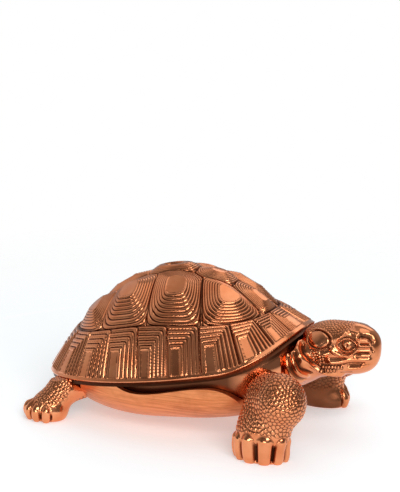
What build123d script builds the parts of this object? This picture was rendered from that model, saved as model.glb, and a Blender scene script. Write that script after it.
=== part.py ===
from build123d import *
from math import cos, radians, sin, sqrt, tan
import os

# A turtle figurine of cast and polished copper whose shell lifts off like the lid of a box.
# Millimetres, +X towards the head, +Z up, the ground at Z = 0, the middle of the whole length at X = 0.
# Places along the body are counted from the middle of the shell, which lies at shell_x.

# Shell: a dome on a tilted oval rim
shell_x = -19.6
rim_height = 39.6
rim_tilt = 11.0
shell_front = 103.0
shell_rear = 96.0
shell_half_width = 64.0
shell_height = 60.0
shell_wall = 2.6
rim_flat_reach = 50.0
rim_rise_radius = 60.0
rim_rise_turn = 75.0
crown_hole_radius = 2.25
crown_hole_ahead = 2.0
seam_depth = 0.9
field_rise = 1.9

# Seat of the shell on the body
seat_gap = 0.3
lid_clearance = 0.9
flange_thickness = 3.0
flange_inset = 2.6
upstand_wall = 2.2
upstand_height = 4.0

# Hull: the body's smooth skin, round below and open above
belly_bottom = 10.5
belly_tilt = 7.0
belly_front = 86.0
belly_rear = 83.0
belly_half_width = 56.0
belly_depth = 30.0
tub_wall = 3.0

# Belly plate: a tray under the hull, with its upper edge as seen from the side
plate_gap = 0.4
plate_wall = 3.4
bridge_rear = 52.0
bridge_front = 20.0
bridge_gap = 1.0
edge_dip_x = 14.0
edge_dip_height = 32.5
lobe_x = 54.0
lobe_height = 37.0
lobe_end_x = 64.0
lobe_end_height = 22.0
tail_edge_height = 9.0

# Screws, their washers and the bosses that they pass through
screw_radius = 1.5
screw_head_radius = 2.7
screw_head_height = 1.8
screw_grip = 9.0
screw_clearance = 0.1
washer_radius = 3.3
washer_thickness = 0.8
boss_radius = 4.6
front_boss_depth = 12.0
rear_boss_depth = 20.0
tip_room = 1.0
belly_screw_x = 24.0
belly_screw_y = 13.0
belly_screw_grip = 6.0
belly_boss_height = 4.5
belly_head_height = 1.4

# Legs: a joint face on the hull, a rounded upper leg and a column down to the sole
fore_seat = (71.0, -42.5, 38.0)
fore_seat_turn = -50.0
fore_length = 38.0
fore_girth = 19.0
far_stride = -8.0
hind_seat = (-64.2, -34.9, 17.2)
hind_seat_turn = -133.0
hind_length = 24.0
hind_girth = 12.0

# Claws on the front and outside of each sole
claw_count = 5
claw_first_turn = -105.0
claw_spread = 120.0
claw_lean = 18.0
fore_claw_rise = 15.0
fore_claw_radius = 2.8
hind_claw_rise = 9.0
hind_claw_radius = 1.8

# Head and neck
neck_seat_x = 83.5
neck_seat_height = 46.5
neck_screw_height = 44.0
head_length = 50.0
head_half_width = 14.8
head_half_height = 15.6
head_height = 59.5

# Tail
tail_seat_x = -80.7
tail_seat_height = 15.9
tail_length = 13.5
tail_radius = 3.8
tail_tip_radius = 1.6
tail_drop = 5.0

far_reach = 160.0

# Levels of the dome: height, front reach, rear reach and half width, as shares
dome_shares = [
    (-0.23, 1.12, 1.08, 1.09),
    (0.00, 1.00, 1.00, 1.00),
    (0.25, 0.81, 0.86, 0.87),
    (0.48, 0.64, 0.72, 0.73),
    (0.68, 0.51, 0.56, 0.55),
    (0.83, 0.38, 0.37, 0.37),
    (0.93, 0.22, 0.21, 0.21),
    (0.99, 0.09, 0.06, 0.08),
]

# Shields of the shell, seen square to the rim: middle of the smooth field, then the corners,
# ahead as a share of the front reach and aside as a share of the half width
side_shields = [
    (
        (0.46, 0.23),
        ((0.27, 0.16), (0.45, 0.11), (0.62, 0.16), (0.64, 0.35), (0.53, 0.47), (0.35, 0.61)),
    ),
    (
        (0.14, 0.31),
        ((-0.05, 0.15), (0.20, 0.12), (0.27, 0.16), (0.34, 0.61), (0.18, 0.68), (0.00, 0.70)),
    ),
    (
        (-0.22, 0.26),
        ((-0.35, 0.14), (-0.14, 0.11), (-0.05, 0.15), (-0.01, 0.70), (-0.20, 0.67), (-0.36, 0.60)),
    ),
    (
        (-0.49, 0.22),
        ((-0.58, 0.11), (-0.50, 0.10), (-0.35, 0.14), (-0.37, 0.60), (-0.52, 0.48), (-0.62, 0.30)),
    ),
]
ridge_shields = [
    ((0.57, 0.0), ((0.45, 0.11), (0.45, -0.11), (0.62, -0.16), (0.65, 0.0), (0.62, 0.16))),
    (
        (0.33, 0.0),
        ((0.20, 0.12), (0.20, -0.12), (0.27, -0.16), (0.45, -0.11), (0.45, 0.11), (0.27, 0.16)),
    ),
    (
        (0.05, 0.0),
        ((-0.14, 0.11), (-0.14, -0.11), (-0.05, -0.15), (0.20, -0.12), (0.20, 0.12), (-0.05, 0.15)),
    ),
    (
        (-0.33, 0.0),
        ((-0.50, 0.10), (-0.50, -0.10), (-0.35, -0.14), (-0.14, -0.11), (-0.14, 0.11), (-0.35, 0.14)),
    ),
    (
        (-0.60, 0.0),
        ((-0.66, 0.14), (-0.66, -0.14), (-0.58, -0.11), (-0.50, -0.10), (-0.50, 0.10), (-0.58, 0.11)),
    ),
]
# Seams between the shields of the rim, from the tail to the head: inner end, then outer end
rim_seams = [
    ((-0.66, 0.18), (-0.93, 0.32)),
    ((-0.57, 0.38), (-0.76, 0.62)),
    ((-0.43, 0.55), (-0.52, 0.85)),
    ((-0.26, 0.65), (-0.27, 0.97)),
    ((-0.05, 0.69), (-0.02, 1.03)),
    ((0.15, 0.68), (0.18, 1.02)),
    ((0.34, 0.61), (0.41, 0.95)),
    ((0.50, 0.48), (0.63, 0.80)),
    ((0.61, 0.31), (0.81, 0.49)),
    ((0.66, 0.11), (0.86, 0.21)),
]
shield_share = 0.98
field_share = 0.42
rim_field_share = 0.45

# Levels of the hull: a flat floor, a round bilge up to full width, and the sides above it
floor_front_share = 0.55
floor_rear_share = 0.32
floor_width_share = 0.42
bilge_level_shares = (0.00, 0.05, 0.16, 0.34, 0.62, 1.00)
bilge_corner_share = 0.66
side_shares = [
    (1.50, 0.99, 1.02, 1.00),
    (2.00, 0.93, 1.00, 0.96),
]
side_corner_share = 0.95

# Upper legs: way out from the joint face, shift to the side, half width and half height, as shares
fore_upper_shares = [
    (0.00, 0.00, 0.62, 0.62),
    (0.20, 0.04, 0.90, 0.80),
    (0.46, 0.12, 1.05, 0.90),
    (0.72, 0.17, 0.88, 0.74),
    (0.90, 0.19, 0.46, 0.40),
]
hind_upper_shares = [
    (0.00, 0.00, 0.62, 0.46),
    (0.25, 0.20, 0.84, 0.47),
    (0.50, 0.42, 0.82, 0.47),
    (0.68, 0.55, 0.48, 0.34),
]

# Columns: height, way forward, way out, half width and half depth, as shares
fore_column_shares = [
    (0.80, 0.40, 0.33, 0.88, 0.70),
    (0.48, 0.29, 0.38, 0.84, 0.64),
    (0.00, 0.24, 0.38, 0.95, 0.68),
]
hind_column_shares = [
    (0.95, -0.10, 0.66, 0.70, 0.58),
    (0.45, -0.45, 0.80, 0.76, 0.62),
    (0.00, -0.66, 0.83, 1.10, 0.84),
]
claw_root_share = 0.8
claw_edge_share = 0.93

# Head and neck: way along, rise from the neck to the head, half height and half width, as shares
head_shares = [
    (0.00, 0.00, 0.93, 1.30),
    (0.17, 0.50, 0.97, 1.14),
    (0.35, 0.84, 1.00, 1.01),
    (0.57, 1.00, 1.00, 0.98),
    (0.77, 1.03, 0.87, 0.88),
    (0.91, 1.00, 0.64, 0.68),
    (1.00, 1.02, 0.30, 0.36),
]


def tilted_plane(height, tilt):
    """The plane through the middle of the shell at this height, nose up by this tilt."""
    turn = radians(tilt)
    return Plane(
        origin=(shell_x, 0, height),
        x_dir=(cos(turn), 0, sin(turn)),
        z_dir=(-sin(turn), 0, cos(turn)),
    )


def seat_plane(place, turn):
    """The plane of a joint face, whose level normal points out of the body."""
    heading = radians(turn)
    return Plane(
        origin=(shell_x + place[0], place[1], place[2]),
        x_dir=(-sin(heading), cos(heading), 0),
        z_dir=(cos(heading), sin(heading), 0),
    )


def left_of(place):
    """The same place on the other side of the body."""
    return (place[0], -place[1], *place[2:])


rim_plane = tilted_plane(rim_height, rim_tilt)
rim_side = Plane(origin=rim_plane.origin, x_dir=rim_plane.x_dir, z_dir=(0, -1, 0))
belly_plane = tilted_plane(belly_bottom, belly_tilt)
fore_right_plane = seat_plane(fore_seat, fore_seat_turn)
fore_left_plane = seat_plane(left_of(fore_seat), -fore_seat_turn)
hind_right_plane = seat_plane(hind_seat, hind_seat_turn)
hind_left_plane = seat_plane(left_of(hind_seat), -hind_seat_turn)
neck_plane = seat_plane((neck_seat_x, 0, neck_screw_height), 0)
tail_plane = seat_plane((tail_seat_x, 0, tail_seat_height), 180)
leg_seats = [
    (fore_right_plane, front_boss_depth),
    (fore_left_plane, front_boss_depth),
    (hind_right_plane, rear_boss_depth),
    (hind_left_plane, rear_boss_depth),
]
neck_seat = (neck_plane, front_boss_depth)
tail_seat = (tail_plane, rear_boss_depth)
seats = leg_seats + [neck_seat, tail_seat]


def dome_sections(inset):
    """Ovals of the dome, drawn in on every side by the inset."""
    sections = []
    for height_share, front_share, rear_share, width_share in dome_shares:
        front = front_share * (shell_front - inset)
        rear = rear_share * (shell_rear - inset)
        half_width = width_share * (shell_half_width - inset)
        with BuildSketch(rim_plane.offset(height_share * (shell_height - inset))) as section:
            with Locations(((front - rear) / 2, 0)):
                Ellipse((front + rear) / 2, half_width)
        sections.append(section.sketch)
    return sections


def drawn_to(middle, corner, share):
    """The corner drawn towards the middle."""
    return (
        middle[0] + share * (corner[0] - middle[0]),
        middle[1] + share * (corner[1] - middle[1]),
    )


def rim_shields():
    """The shields of the rim on one side: middle of the smooth field, then the corners."""
    shields = []
    for (inner, outer), (next_inner, next_outer) in zip(rim_seams, rim_seams[1:]):
        middle = drawn_to(drawn_to(outer, next_outer, rim_field_share), inner, rim_field_share)
        shields.append((middle, (inner, next_inner, next_outer, outer)))
    return shields


def on_dome(dome, place):
    """The point of the dome at a place given in shares, and the way out of the shell there."""
    foot = rim_plane.from_local_coords(
        Vector(place[0] * shell_front, place[1] * shell_half_width, -shell_height)
    )
    hits = dome.find_intersection_points(Axis(foot, rim_plane.z_dir))
    return max(hits, key=lambda hit: hit[0].Z)


def mound(dome, middle, corners):
    """A low mound with a flat smooth field, whose foot meets the dome round the shield's outline."""
    top, way_out = on_dome(dome, middle)
    forward = rim_plane.x_dir - way_out * way_out.dot(rim_plane.x_dir)
    tangent = Plane(origin=top, x_dir=forward, z_dir=way_out)
    feet = []
    for corner in corners:
        point, _ = on_dome(dome, drawn_to(middle, corner, shield_share))
        feet.append(tangent.to_local_coords(point))
    depth = sum(foot.Z for foot in feet) / len(feet)
    with BuildPart() as piece:
        with BuildSketch(tangent.offset(depth)):
            Polygon(*[(foot.X, foot.Y) for foot in feet], align=None)
        with BuildSketch(tangent.offset(field_rise)):
            Polygon(*[(field_share * foot.X, field_share * foot.Y) for foot in feet], align=None)
        loft()
    return piece.part


def shell_mounds(dome):
    """The mounds of all the shields."""
    mounds = []
    for middle, corners in side_shields + rim_shields():
        mounds.append(mound(dome, middle, corners))
        mounds.append(mound(dome, left_of(middle), [left_of(corner) for corner in corners]))
    for middle, corners in ridge_shields:
        mounds.append(mound(dome, middle, corners))
    return mounds


def rim_band(low, high):
    """Side view of the band between two lines that follow the rim, these heights above it."""
    with BuildSketch(rim_side) as band:
        with BuildLine():
            bottom = Line((-far_reach, low), (rim_flat_reach, low))
            bottom_rise = CenterArc(
                (rim_flat_reach, low + rim_rise_radius), rim_rise_radius, -90, rim_rise_turn
            )
            top_rise = CenterArc(
                (rim_flat_reach, high + rim_rise_radius), rim_rise_radius, -90, rim_rise_turn
            )
            top = Line((rim_flat_reach, high), (-far_reach, high))
            Line(bottom_rise @ 1, top_rise @ 1)
            Line(top @ 1, bottom @ 0)
        make_face()
    return band.sketch


def hull_levels():
    """Depth, front reach, rear reach, half width and corner size of each level, as shares."""
    levels = []
    for depth in bilge_level_shares:
        bulge = sqrt(1 - (1 - depth) ** 2)
        front = floor_front_share + (1 - floor_front_share) * bulge
        rear = floor_rear_share + (1 - floor_rear_share) * bulge
        width = floor_width_share + (1 - floor_width_share) * bulge
        levels.append((depth, front, rear, width, bilge_corner_share))
    for depth, front, rear, width in side_shares:
        levels.append((depth, front, rear, width, side_corner_share))
    return levels


def hull_sections(outset):
    """Outlines of the hull moved outwards, the floor most of all downwards."""
    sections = []
    for depth_share, front_share, rear_share, width_share, corner_share in hull_levels():
        front = front_share * belly_front + outset
        rear = rear_share * belly_rear + outset
        half = width_share * belly_half_width + outset
        corner_x = corner_share * front
        corner_y = corner_share * half
        corner_right = (front - corner_x, corner_y - half)
        corner_left = (front - corner_x, half - corner_y)
        level = depth_share * belly_depth - outset * max(1 - depth_share, 0)
        with BuildSketch(belly_plane.offset(level)) as section:
            with BuildLine():
                Line((0, -half), (front - corner_x, -half))
                EllipticalCenterArc(corner_right, corner_x, corner_y, -90, arc_size=90)
                Line((front, corner_y - half), (front, half - corner_y))
                EllipticalCenterArc(corner_left, corner_x, corner_y, 0, arc_size=90)
                Line((front - corner_x, half), (0, half))
                EllipticalCenterArc((0, 0), rear, half, 90, arc_size=90)
                EllipticalCenterArc((0, 0), rear, half, 180, arc_size=90)
            make_face()
        sections.append(section.sketch)
    return sections


def rim_underside(x):
    """Height, x from the middle of the shell, just under the flange along the rim's straight part."""
    return rim_height + x * tan(radians(rim_tilt)) - flange_thickness - bridge_gap


# Shell
with BuildPart() as dome:
    loft(sections=dome_sections(seam_depth))

with BuildPart() as carapace:
    add(dome.part)
    add(shell_mounds(dome.part))
    loft(sections=dome_sections(shell_wall), mode=Mode.SUBTRACT)
    extrude(rim_band(0, far_reach), amount=far_reach, both=True, mode=Mode.INTERSECT)
    with BuildSketch(rim_plane.offset(shell_height)):
        with Locations((crown_hole_ahead, 0)):
            Circle(crown_hole_radius)
    extrude(amount=-shell_height / 2, mode=Mode.SUBTRACT)

# Space inside the hull's skin
with BuildPart() as room:
    loft(sections=hull_sections(-tub_wall))

# Flange that carries the shell
with BuildPart() as flange:
    loft(sections=dome_sections(flange_inset))
    extrude(
        rim_band(-seat_gap - flange_thickness, -seat_gap),
        amount=far_reach, both=True, mode=Mode.INTERSECT,
    )
    add(room.part, mode=Mode.SUBTRACT)

# Upstand that keeps the shell in place
upstand_inset = shell_wall + lid_clearance
with BuildPart() as upstand:
    loft(sections=dome_sections(upstand_inset))
    extrude(
        rim_band(-seat_gap - flange_thickness, upstand_height),
        amount=far_reach, both=True, mode=Mode.INTERSECT,
    )
    loft(sections=dome_sections(upstand_inset + upstand_wall), mode=Mode.SUBTRACT)

# Body tub: the smooth skin with its compartment, flange, upstand and joint bosses
with BuildPart() as body_tub:
    loft(sections=hull_sections(0))
    extrude(
        rim_band(-seat_gap - flange_thickness / 2, far_reach),
        amount=far_reach, both=True, mode=Mode.SUBTRACT,
    )
    add(room.part, mode=Mode.SUBTRACT)
    add(flange.part)
    add(upstand.part)
    for plane, boss_depth in seats:
        with BuildSketch(plane):
            Circle(boss_radius)
        extrude(amount=-boss_depth)
    with BuildSketch(belly_plane):
        with GridLocations(2 * belly_screw_x, 2 * belly_screw_y, 2, 2):
            Circle(boss_radius)
    extrude(amount=tub_wall + belly_boss_height)
    for plane, boss_depth in seats:
        with BuildSketch(plane):
            Circle(screw_radius + screw_clearance)
        extrude(amount=-boss_depth, mode=Mode.SUBTRACT)
    with BuildSketch(belly_plane):
        with GridLocations(2 * belly_screw_x, 2 * belly_screw_y, 2, 2):
            Circle(screw_radius + screw_clearance)
    extrude(amount=belly_screw_grip, mode=Mode.SUBTRACT)

# Belly plate: a brushed tray whose edge meets the rim at the bridges and dips in front of them
rear_foot = (shell_x - bridge_rear - plate_wall, tail_edge_height)
bridge_back = (shell_x - bridge_rear, rim_underside(-bridge_rear))
bridge_fore = (shell_x - bridge_front, rim_underside(-bridge_front))
lobe_end = (shell_x + lobe_end_x, lobe_end_height)
with BuildPart() as belly_plate:
    loft(sections=hull_sections(plate_gap + plate_wall))
    loft(sections=hull_sections(plate_gap), mode=Mode.SUBTRACT)
    with BuildSketch(Plane.XZ):
        with BuildLine():
            Line((-far_reach, tail_edge_height), rear_foot)
            Line(rear_foot, bridge_back)
            Line(bridge_back, bridge_fore)
            Spline(
                bridge_fore,
                (shell_x + edge_dip_x, edge_dip_height),
                (shell_x + lobe_x, lobe_height),
                lobe_end,
            )
            Line(lobe_end, (far_reach, lobe_end_height))
            Line((far_reach, lobe_end_height), (far_reach, far_reach))
            Line((far_reach, far_reach), (-far_reach, far_reach))
            Line((-far_reach, far_reach), (-far_reach, tail_edge_height))
        make_face()
    extrude(amount=far_reach, both=True, mode=Mode.SUBTRACT)
    with BuildSketch(belly_plane.offset(-plate_gap - plate_wall)):
        with GridLocations(2 * belly_screw_x, 2 * belly_screw_y, 2, 2):
            Circle(screw_head_radius + screw_clearance)
    extrude(amount=belly_head_height + screw_clearance, mode=Mode.SUBTRACT)
    with BuildSketch(belly_plane.offset(-plate_gap - plate_wall)):
        with GridLocations(2 * belly_screw_x, 2 * belly_screw_y, 2, 2):
            Circle(screw_radius + screw_clearance)
    extrude(amount=plate_wall + plate_gap, mode=Mode.SUBTRACT)


# Legs
def upper_leg_sections(plane, length, girth, shares, stride):
    """Ovals from the joint face outwards, each moved ahead by its share of the stride."""
    sections = []
    for way_share, side_share, width_share, height_share in shares:
        ahead = way_share * stride
        with BuildSketch(plane.offset(way_share * length + ahead * plane.z_dir.X)) as section:
            with Locations((side_share * length + ahead * plane.x_dir.X, 0)):
                Ellipse(width_share * girth, height_share * girth)
        sections.append(section.sketch)
    return sections


def column_sections(seat, length, girth, shares, stride):
    """Level ovals from the middle of the upper leg down to the sole."""
    sections = []
    for height_share, forward_share, out_share, width_share, depth_share in shares:
        centre_x = shell_x + seat[0] + forward_share * length + stride
        centre_y = seat[1] - out_share * length
        with BuildSketch(Plane.XY.offset(height_share * seat[2])) as section:
            with Locations((centre_x, centre_y)):
                Ellipse(width_share * girth, depth_share * girth)
        sections.append(section.sketch)
    return sections


def claw_places(seat, length, girth, sole_shares, stride):
    """Places of the claws round the edge of the sole, each turned to face outwards."""
    height_share, forward_share, out_share, width_share, depth_share = sole_shares
    sole_x = shell_x + seat[0] + forward_share * length + stride
    sole_y = seat[1] - out_share * length
    sole_z = height_share * seat[2]
    reach_x = claw_edge_share * width_share * girth
    reach_y = claw_edge_share * depth_share * girth
    lean = Location((0, 0, 0), (0, -claw_lean, 0))
    places = []
    for number in range(claw_count):
        turn = claw_first_turn + number * claw_spread / (claw_count - 1)
        x = sole_x + reach_x * cos(radians(turn))
        y = sole_y + reach_y * sin(radians(turn))
        places.append(Location((x, y, sole_z), (0, 0, turn)) * lean)
    return places


def leg(plane, seat, length, girth, upper_shares, column_shares, claw_radius, claw_rise, stride):
    """A leg of the right side, whose foot stands this far ahead of its usual place."""
    with BuildPart() as piece:
        loft(sections=upper_leg_sections(plane, length, girth, upper_shares, stride))
        loft(sections=column_sections(seat, length, girth, column_shares, stride))
        with Locations(*claw_places(seat, length, girth, column_shares[-1], stride)):
            Cone(
                claw_radius, claw_root_share * claw_radius, claw_rise,
                align=(Align.CENTER, Align.CENTER, Align.MIN),
            )
        split(bisect_by=Plane.XY, keep=Keep.TOP)
        with BuildSketch(plane):
            Circle(screw_radius + screw_clearance)
        extrude(amount=screw_grip + tip_room, mode=Mode.SUBTRACT)
    return piece.part


def fore_leg(stride):
    return leg(
        fore_right_plane, fore_seat, fore_length, fore_girth, fore_upper_shares,
        fore_column_shares, fore_claw_radius, fore_claw_rise, stride,
    )


def hind_leg(stride):
    return leg(
        hind_right_plane, hind_seat, hind_length, hind_girth, hind_upper_shares,
        hind_column_shares, hind_claw_radius, hind_claw_rise, stride,
    )


with BuildPart() as fore_leg_right:
    add(fore_leg(0))

with BuildPart() as fore_leg_left:
    mirror(fore_leg(far_stride), about=Plane.XZ)

with BuildPart() as hind_leg_right:
    add(hind_leg(0))

with BuildPart() as hind_leg_left:
    mirror(hind_leg(0), about=Plane.XZ)

# Head with its neck
head_ovals = []
for way_share, rise_share, height_share, width_share in head_shares:
    centre_x = neck_seat_x + way_share * head_length
    centre_height = neck_seat_height + rise_share * (head_height - neck_seat_height)
    with BuildSketch(seat_plane((centre_x, 0, centre_height), 0)) as oval:
        Ellipse(width_share * head_half_width, height_share * head_half_height)
    head_ovals.append(oval.sketch)

with BuildPart() as head:
    loft(sections=head_ovals)
    with BuildSketch(neck_plane):
        Circle(screw_radius + screw_clearance)
    extrude(amount=screw_grip + tip_room, mode=Mode.SUBTRACT)

# Tail
with BuildSketch(tail_plane) as tail_root:
    Circle(tail_radius)
with BuildSketch(tail_plane.offset(tail_length)) as tail_tip:
    with Locations((0, -tail_drop)):
        Circle(tail_tip_radius)

with BuildPart() as tail:
    loft(sections=[tail_root.sketch, tail_tip.sketch])
    with BuildSketch(tail_plane):
        Circle(screw_radius + screw_clearance)
    extrude(amount=screw_grip + tip_room, mode=Mode.SUBTRACT)


# Screws and washers inside the compartment
def joint_screw(plane, boss_depth):
    """A screw from the inner face of a boss into the piece that the boss carries."""
    with BuildPart() as screw:
        with BuildSketch(plane.offset(-boss_depth - washer_thickness - screw_head_height)):
            Circle(screw_head_radius)
        extrude(amount=screw_head_height)
        with BuildSketch(plane.offset(-boss_depth - washer_thickness)):
            Circle(screw_radius)
        extrude(amount=washer_thickness + boss_depth + screw_grip)
    return screw.part


with BuildPart() as leg_screws:
    for plane, boss_depth in leg_seats:
        add(joint_screw(plane, boss_depth))

with BuildPart() as neck_screw:
    add(joint_screw(*neck_seat))

with BuildPart() as tail_screw:
    add(joint_screw(*tail_seat))

with BuildPart() as screw_washers:
    for plane, boss_depth in seats:
        with BuildSketch(plane.offset(-boss_depth - washer_thickness)):
            Circle(washer_radius)
            Circle(screw_radius + screw_clearance, mode=Mode.SUBTRACT)
        extrude(amount=washer_thickness)

with BuildPart() as belly_screws:
    with BuildSketch(belly_plane.offset(-plate_gap - plate_wall)):
        with GridLocations(2 * belly_screw_x, 2 * belly_screw_y, 2, 2):
            Circle(screw_head_radius)
    extrude(amount=belly_head_height + screw_clearance)
    with BuildSketch(belly_plane.offset(-plate_gap - plate_wall + belly_head_height)):
        with GridLocations(2 * belly_screw_x, 2 * belly_screw_y, 2, 2):
            Circle(screw_radius)
    extrude(amount=plate_gap + plate_wall - belly_head_height + belly_screw_grip - tip_room)

pieces = {
    "carapace": carapace,
    "body_tub": body_tub,
    "belly_plate": belly_plate,
    "head": head,
    "tail": tail,
    "fore_leg_right": fore_leg_right,
    "fore_leg_left": fore_leg_left,
    "hind_leg_right": hind_leg_right,
    "hind_leg_left": hind_leg_left,
    "leg_screws": leg_screws,
    "neck_screw": neck_screw,
    "tail_screw": tail_screw,
    "screw_washers": screw_washers,
    "belly_screws": belly_screws,
}
os.makedirs("parts", exist_ok=True)
for name, piece in pieces.items():
    piece.part.label = name
    export_step(piece.part, f"parts/{name}.step")
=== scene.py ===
import bpy
import numpy as np
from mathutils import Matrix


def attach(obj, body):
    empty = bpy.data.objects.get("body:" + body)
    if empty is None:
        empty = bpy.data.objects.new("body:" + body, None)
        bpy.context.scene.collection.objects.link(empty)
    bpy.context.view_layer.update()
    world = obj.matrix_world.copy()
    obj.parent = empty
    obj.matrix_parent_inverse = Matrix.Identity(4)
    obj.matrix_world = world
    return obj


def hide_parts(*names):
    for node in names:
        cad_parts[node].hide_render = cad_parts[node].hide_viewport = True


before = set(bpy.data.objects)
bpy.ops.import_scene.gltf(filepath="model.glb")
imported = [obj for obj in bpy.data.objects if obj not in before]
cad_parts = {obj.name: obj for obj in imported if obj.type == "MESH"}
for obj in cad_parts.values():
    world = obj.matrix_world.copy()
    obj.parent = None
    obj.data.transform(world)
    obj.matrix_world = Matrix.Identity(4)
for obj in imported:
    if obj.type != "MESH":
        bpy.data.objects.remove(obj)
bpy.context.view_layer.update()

import openvdb
from mathutils import Matrix, Vector
from mathutils.kdtree import KDTree

# A turtle figurine of polished copper, dressed over its solid model.
# Lengths in the tables below are millimetres; millimetre turns them into metres.
millimetre = 0.001
# The least length to divide by
tiny = 1e-6

# Shell: a dome on a tilted oval rim, as in the solid model
shell_x = -19.6
rim_height = 39.6
rim_tilt = np.radians(11.0)
shell_front = 103.0
shell_rear = 96.0
shell_half_width = 64.0
shell_height = 60.0
shell_wall = 2.6
rim_flat_reach = 50.0
rim_rise_radius = 60.0
crown_hole_radius = 2.25
crown_hole_ahead = 2.0
crown_centring_reach = 40.0

# Height, front reach, rear reach and half width of the dome, as shares, from the crown to under the rim
dome_heights = (1.00, 0.985, 0.93, 0.83, 0.68, 0.48, 0.25, 0.00, -0.14)
dome_fronts = (0.03, 0.12, 0.22, 0.38, 0.51, 0.64, 0.81, 1.00, 1.07)
dome_rears = (0.02, 0.10, 0.21, 0.37, 0.56, 0.72, 0.86, 1.00, 1.05)
dome_widths = (0.035, 0.10, 0.21, 0.37, 0.55, 0.73, 0.87, 1.00, 1.06)


def smooth_through(places, values, at):
    """Values of a smooth curve through these points."""
    places = np.asarray(places, float)
    values = np.asarray(values, float)
    slopes = np.diff(values) / np.diff(places)
    tangents = np.concatenate([slopes[:1], (slopes[:-1] + slopes[1:]) / 2, slopes[-1:]])
    span = np.clip(np.searchsorted(places, at, side="right") - 1, 0, len(places) - 2)
    width = places[span + 1] - places[span]
    along = (at - places[span]) / width
    start = (1 + 2 * along) * (1 - along) ** 2 * values[span]
    leave = along * (1 - along) ** 2 * width * tangents[span]
    end = along ** 2 * (3 - 2 * along) * values[span + 1]
    arrive = along ** 2 * (along - 1) * width * tangents[span + 1]
    return start + leave + end + arrive


def ease(low, high, value):
    """A smooth step from 0 at low to 1 at high."""
    along = np.clip((value - low) / (high - low), 0, 1)
    return along * along * (3 - 2 * along)


def ridge(way, place, width):
    """1 at this place across a line and nothing beyond about this width."""
    return np.exp(-((way - place) / width) ** 2)


def mesh_of(name, points, faces, fields=None):
    """A smooth-shaded mesh of these points in millimetres, with a number per point for each field."""
    mesh = bpy.data.meshes.new(name)
    mesh.vertices.add(len(points))
    mesh.vertices.foreach_set("co", (points * millimetre).astype(np.float32).ravel())
    sides = faces.shape[1]
    mesh.loops.add(faces.size)
    mesh.loops.foreach_set("vertex_index", faces.astype(np.int32).ravel())
    mesh.polygons.add(len(faces))
    mesh.polygons.foreach_set("loop_start", np.arange(0, faces.size, sides, dtype=np.int32))
    mesh.polygons.foreach_set("use_smooth", np.ones(len(faces), bool))
    for field, numbers in (fields or {}).items():
        attribute = mesh.attributes.new(field, "FLOAT", "POINT")
        attribute.data.foreach_set("value", numbers.astype(np.float32))
    mesh.update()
    mesh.validate()
    piece = bpy.data.objects.new(name, mesh)
    bpy.context.scene.collection.objects.link(piece)
    return piece


def grid_faces(rows, columns, rows_close):
    """Four-sided faces of a grid of points whose columns close into rings."""
    row = np.arange(rows if rows_close else rows - 1)[:, None]
    column = np.arange(columns)[None, :]
    row_next = (row + 1) % rows
    column_next = (column + 1) % columns
    corners = [
        row * columns + column,
        row_next * columns + column,
        row_next * columns + column_next,
        row * columns + column_next,
    ]
    return np.stack(np.broadcast_arrays(*corners), -1).reshape(-1, 4)


def grid_normals(points):
    """Outward directions of a grid of points whose columns close into rings."""
    down = np.gradient(points, axis=0)
    wrapped = np.concatenate([points[:, -1:], points, points[:, :1]], axis=1)
    along = (wrapped[:, 2:] - wrapped[:, :-2]) / 2
    normal = np.cross(down, along)
    return normal / np.maximum(np.linalg.norm(normal, axis=-1, keepdims=True), 1e-9)


def from_rim_plane(ahead, aside, up):
    """Points given in the tilted plane of the rim, in the frame of the part."""
    x = shell_x + ahead * np.cos(rim_tilt) - up * np.sin(rim_tilt)
    z = rim_height + ahead * np.sin(rim_tilt) + up * np.cos(rim_tilt)
    return np.stack([x, aside, z], -1)


# Modelling in clay: rounded forms joined in a block of space, negative inside
class Clay:
    """A block of space round a cast piece, in millimetres from the middle of the shell."""

    def __init__(self, low, high, pitch):
        self.low = np.array(low, np.float32)
        self.pitch = pitch
        counts = np.ceil((np.array(high) - self.low) / pitch).astype(int)
        axes = [self.low[axis] + pitch * np.arange(counts[axis], dtype=np.float32) for axis in range(3)]
        self.x, self.y, self.z = np.meshgrid(*axes, indexing="ij", sparse=True)

    def ball(self, middle, radii, turn=0.0):
        """An egg shape with these half sizes, turned about Z by this many degrees."""
        x = self.x - middle[0]
        y = self.y - middle[1]
        z = self.z - middle[2]
        cosine = np.cos(np.radians(turn))
        sine = np.sin(np.radians(turn))
        x, y = cosine * x + sine * y, cosine * y - sine * x
        reach = np.sqrt((x / radii[0]) ** 2 + (y / radii[1]) ** 2 + (z / radii[2]) ** 2)
        slope = np.sqrt((x / radii[0] ** 2) ** 2 + (y / radii[1] ** 2) ** 2 + (z / radii[2] ** 2) ** 2)
        return reach * (reach - 1) / np.maximum(slope, tiny)

    def rod(self, start, end, start_radius, end_radius):
        """A rod with round ends, tapering from one radius to the other."""
        way = np.array(end, float) - np.array(start, float)
        x = self.x - start[0]
        y = self.y - start[1]
        z = self.z - start[2]
        along = np.clip((x * way[0] + y * way[1] + z * way[2]) / way.dot(way), 0, 1)
        off_x = x - along * way[0]
        off_y = y - along * way[1]
        off_z = z - along * way[2]
        apart = np.sqrt(off_x ** 2 + off_y ** 2 + off_z ** 2)
        return apart - (start_radius + along * (end_radius - start_radius))

    def skin(self, form):
        """Points and four-sided faces of the form's surface."""
        well_outside = 10.0
        grid = openvdb.FloatGrid(well_outside)
        grid.copyFromArray(np.ascontiguousarray(form, dtype=np.float32))
        points, faces = grid.convertToQuads(0.0)
        return points * self.pitch + self.low, faces


def joined(forms, blend):
    """The forms melted together, with fillets of about this radius."""
    whole = forms[0]
    for form in forms[1:]:
        near = np.maximum(blend - np.abs(whole - form), 0) / blend
        whole = np.minimum(whole, form) - near * near * blend / 4
    return whole


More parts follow.
